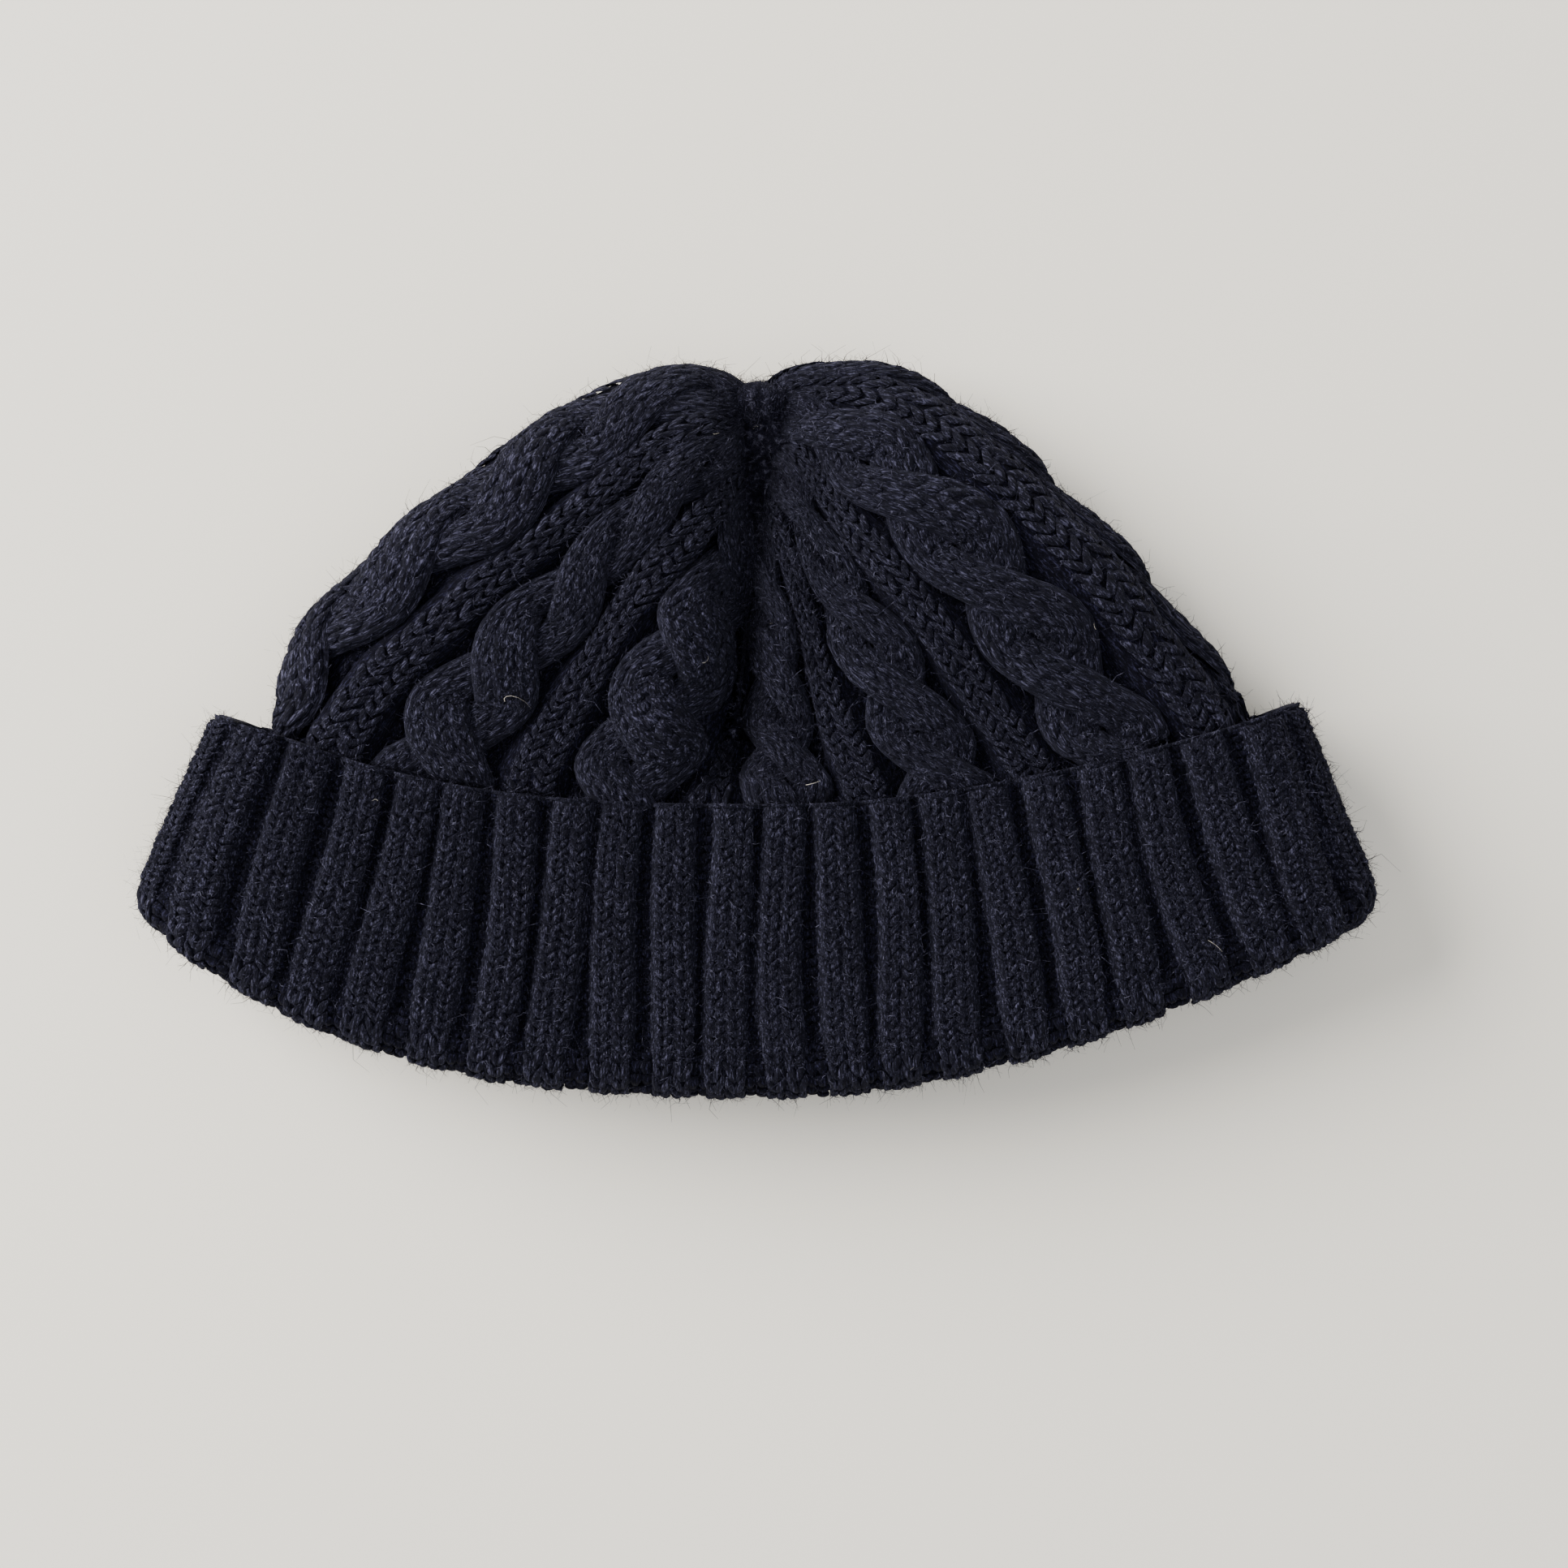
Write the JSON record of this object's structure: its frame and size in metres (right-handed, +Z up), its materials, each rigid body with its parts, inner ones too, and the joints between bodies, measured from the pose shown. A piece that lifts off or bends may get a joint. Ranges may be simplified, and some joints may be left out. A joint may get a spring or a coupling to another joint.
{
  "type": "knit beanie",
  "caption": "Chunky cabled knit beanie in dark navy wool with a deep turned-up ribbed cuff, lying flat.",
  "frame": {"origin": "middle of the footprint of the hat as it lies flat, on the surface it lies on", "axes": "+Z up off the table through the front of the hat, +Y from the open cuff to the top of the crown, +X to the right as seen from above"},
  "size_m": [0.2294, 0.1352, 0.0357],
  "materials": {
    "navy_felted_wool": "felted chunky knit, dark navy melange",
    "navy_purl_ground": "purl side of the same wool knit, in shadow",
    "white_woven_satin": "blank woven satin",
    "navy_sewing_thread": "spun polyester thread"
  },
  "bodies": {
    "crown": {"crown_gather": "navy_felted_wool", "care_label_seam": "navy_sewing_thread", "crown_cable_01": "navy_felted_wool", "crown_cable_02": "navy_felted_wool", "crown_cable_03": "navy_felted_wool", "crown_cable_04": "navy_felted_wool", "crown_cable_05": "navy_felted_wool", "crown_cable_06": "navy_felted_wool", "crown_cable_07": "navy_felted_wool", "crown_cable_08": "navy_felted_wool", "crown_cable_09": "navy_felted_wool", "crown_cable_10": "navy_felted_wool", "crown_cable_11": "navy_felted_wool", "crown_rib_01": "navy_felted_wool", "crown_rib_02": "navy_felted_wool", "crown_rib_03": "navy_felted_wool", "crown_rib_04": "navy_felted_wool", "crown_rib_05": "navy_felted_wool", "crown_rib_06": "navy_felted_wool", "crown_rib_07": "navy_felted_wool", "crown_rib_08": "navy_felted_wool", "crown_rib_09": "navy_felted_wool", "crown_rib_10": "navy_felted_wool", "crown_rib_11": "navy_felted_wool", "crown_ground_01": "navy_purl_ground", "crown_ground_02": "navy_purl_ground", "crown_ground_03": "navy_purl_ground", "crown_ground_04": "navy_purl_ground", "crown_ground_05": "navy_purl_ground", "crown_ground_06": "navy_purl_ground", "crown_ground_07": "navy_purl_ground", "crown_ground_08": "navy_purl_ground", "crown_ground_09": "navy_purl_ground", "crown_ground_10": "navy_purl_ground", "crown_ground_11": "navy_purl_ground"},
    "cuff": {"cuff_turned_up": "navy_felted_wool", "cuff_lining": "navy_purl_ground", "cuff_cast_on_edge": "navy_felted_wool"},
    "label": {"care_label": "white_woven_satin"}
  },
  "joints": [
    {"name": "cuff_roll", "type": "slide", "parent": "crown", "child": "cuff", "axis": [0, 1, 0], "range_m": [-0.01, 0.005]},
    {"name": "label_flip", "type": "hinge", "parent": "crown", "child": "label", "pos_m": [0, 0.01199, 0.0105], "axis": [-1, 0, 0], "range_deg": [0, 15]}
  ]
}
